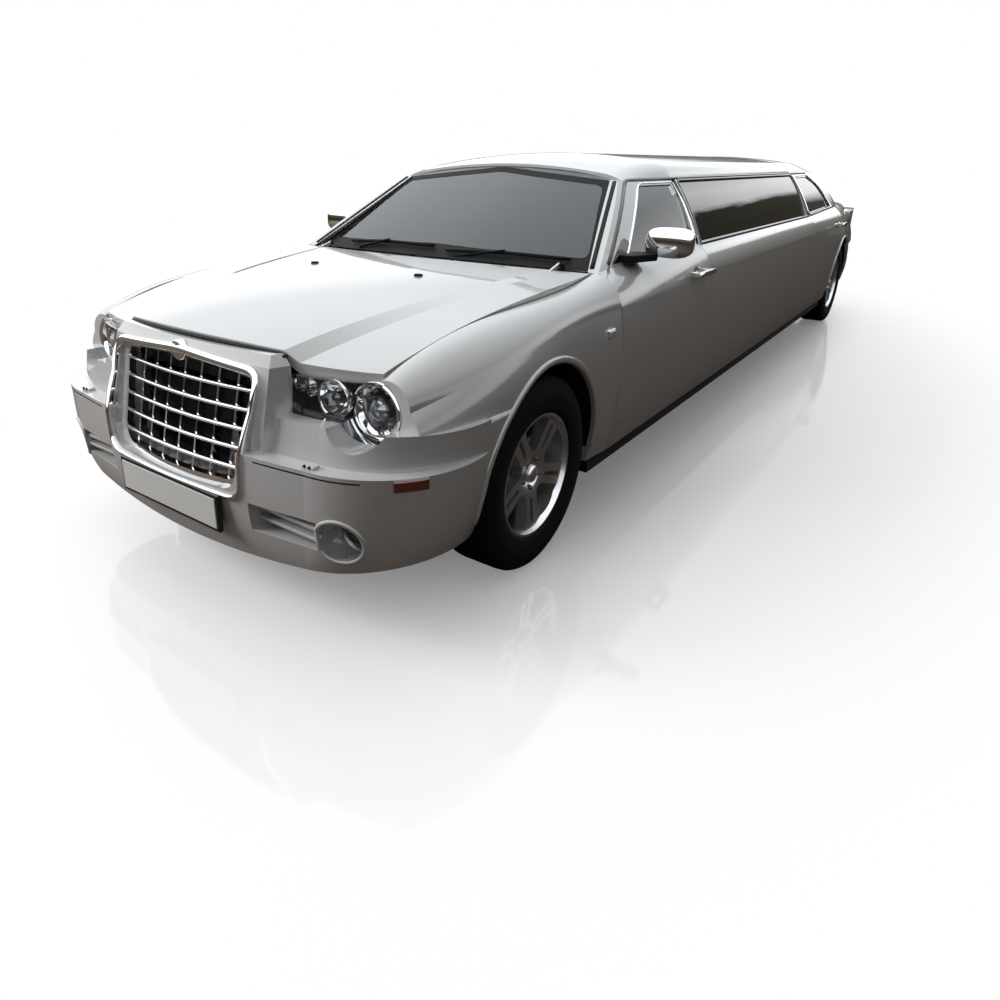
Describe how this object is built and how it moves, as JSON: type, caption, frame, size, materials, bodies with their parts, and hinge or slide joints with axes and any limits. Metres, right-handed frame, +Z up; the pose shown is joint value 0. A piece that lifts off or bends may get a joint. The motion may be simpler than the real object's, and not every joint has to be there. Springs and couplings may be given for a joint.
{
  "type": "stretch limousine",
  "caption": "White stretched saloon limousine with a chrome lattice grille, dark-tinted long side windows, opening doors, bonnet and boot, steering front wheels and alloy wheels.",
  "frame": {"origin": "middle of the footprint, on the road", "axes": "+Z up, the car faces -Y, its left side is +X"},
  "size_m": [2.094, 7.541, 1.472],
  "materials": {
    "pearl_paint": "glossy pearl white",
    "black_plastic": "satin black",
    "dark_glass": "dark tint",
    "clear_glass": "clear, slightly green",
    "lamp_lens": "clear lens",
    "red_lens": "red lens",
    "chrome": "polished",
    "alloy": "painted silver",
    "rubber_tread": "matt black",
    "steel": "machined",
    "iron": "rough",
    "black_leather": "grained",
    "veneer": "lacquered"
  },
  "bodies": {
    "body": {"arch_liners": "black_plastic", "backlight": "dark_glass", "cabinet": "veneer", "cowl": "black_plastic", "dashboard": "black_plastic", "engine": "iron", "exhaust": "steel", "fender_left": "pearl_paint", "fender_right": "pearl_paint", "floor_pan": "black_plastic", "front_arms": "steel", "front_bumper": "pearl_paint", "grille": "chrome", "headlamps": "lamp_lens", "quarter_left": "pearl_paint", "quarter_right": "pearl_paint", "rear_axle": "steel", "rear_bumper": "pearl_paint", "rear_deck": "pearl_paint", "roof": "pearl_paint", "seats": "black_leather", "side_glass": "dark_glass", "side_panel_left": "pearl_paint", "side_panel_right": "pearl_paint", "tail_lamps": "red_lens", "windscreen": "clear_glass"},
    "front_door_left": {"front_door_left": "pearl_paint", "front_door_glass_left": "clear_glass", "mirror_left": "chrome"},
    "rear_door_left": {"rear_door_left": "pearl_paint", "rear_door_glass_left": "dark_glass"},
    "knuckle_left": {"knuckle_left": "steel"},
    "wheel_front_left": {"tyre_front_left": "rubber_tread", "rim_front_left": "alloy"},
    "wheel_rear_left": {"tyre_rear_left": "rubber_tread", "rim_rear_left": "alloy"},
    "front_door_right": {"front_door_right": "pearl_paint", "front_door_glass_right": "clear_glass", "mirror_right": "chrome"},
    "rear_door_right": {"rear_door_right": "pearl_paint", "rear_door_glass_right": "dark_glass"},
    "knuckle_right": {"knuckle_right": "steel"},
    "wheel_front_right": {"tyre_front_right": "rubber_tread", "rim_front_right": "alloy"},
    "wheel_rear_right": {"tyre_rear_right": "rubber_tread", "rim_rear_right": "alloy"},
    "bonnet": {"bonnet": "pearl_paint"},
    "boot_lid": {"boot_lid": "pearl_paint"}
  },
  "joints": [
    {"name": "front_door_left_hinge", "type": "hinge", "parent": "body", "child": "front_door_left", "pos_m": [0.945, -2.313, 0.65], "axis": [0, 0, -1], "range_deg": [0, 65]},
    {"name": "rear_door_left_hinge", "type": "hinge", "parent": "body", "child": "rear_door_left", "pos_m": [0.945, 1.391, 0.65], "axis": [0, 0, -1], "range_deg": [0, 65]},
    {"name": "steer_left", "type": "hinge", "parent": "body", "child": "knuckle_left", "pos_m": [0.715, -2.8725, 0.3635], "axis": [0, 0, 1], "range_deg": [-35, 35]},
    {"name": "front_wheel_left_spin", "type": "hinge", "parent": "knuckle_left", "child": "wheel_front_left", "pos_m": [0.8, -2.8725, 0.3635], "axis": [1, 0, 0], "continuous": true},
    {"name": "rear_wheel_left_spin", "type": "hinge", "parent": "body", "child": "wheel_rear_left", "pos_m": [0.8, 2.7155, 0.3635], "axis": [1, 0, 0], "continuous": true},
    {"name": "front_door_right_hinge", "type": "hinge", "parent": "body", "child": "front_door_right", "pos_m": [-0.945, -2.313, 0.65], "axis": [0, 0, 1], "range_deg": [0, 65]},
    {"name": "rear_door_right_hinge", "type": "hinge", "parent": "body", "child": "rear_door_right", "pos_m": [-0.945, 1.391, 0.65], "axis": [0, 0, 1], "range_deg": [0, 65]},
    {"name": "steer_right", "type": "hinge", "parent": "body", "child": "knuckle_right", "pos_m": [-0.715, -2.8725, 0.3635], "axis": [0, 0, 1], "range_deg": [-35, 35]},
    {"name": "front_wheel_right_spin", "type": "hinge", "parent": "knuckle_right", "child": "wheel_front_right", "pos_m": [-0.8, -2.8725, 0.3635], "axis": [1, 0, 0], "continuous": true},
    {"name": "rear_wheel_right_spin", "type": "hinge", "parent": "body", "child": "wheel_rear_right", "pos_m": [-0.8, 2.7155, 0.3635], "axis": [1, 0, 0], "continuous": true},
    {"name": "bonnet_hinge", "type": "hinge", "parent": "body", "child": "bonnet", "pos_m": [0, -2.3245, 1.03], "axis": [-1, 0, 0], "range_deg": [0, 50]},
    {"name": "boot_lid_hinge", "type": "hinge", "parent": "body", "child": "boot_lid", "pos_m": [0, 3.0535, 1.072], "axis": [1, 0, 0], "range_deg": [0, 75]}
  ],
  "couplings": [
    {"joint": "steer_right", "follows": "steer_left", "ratio": 1}
  ]
}
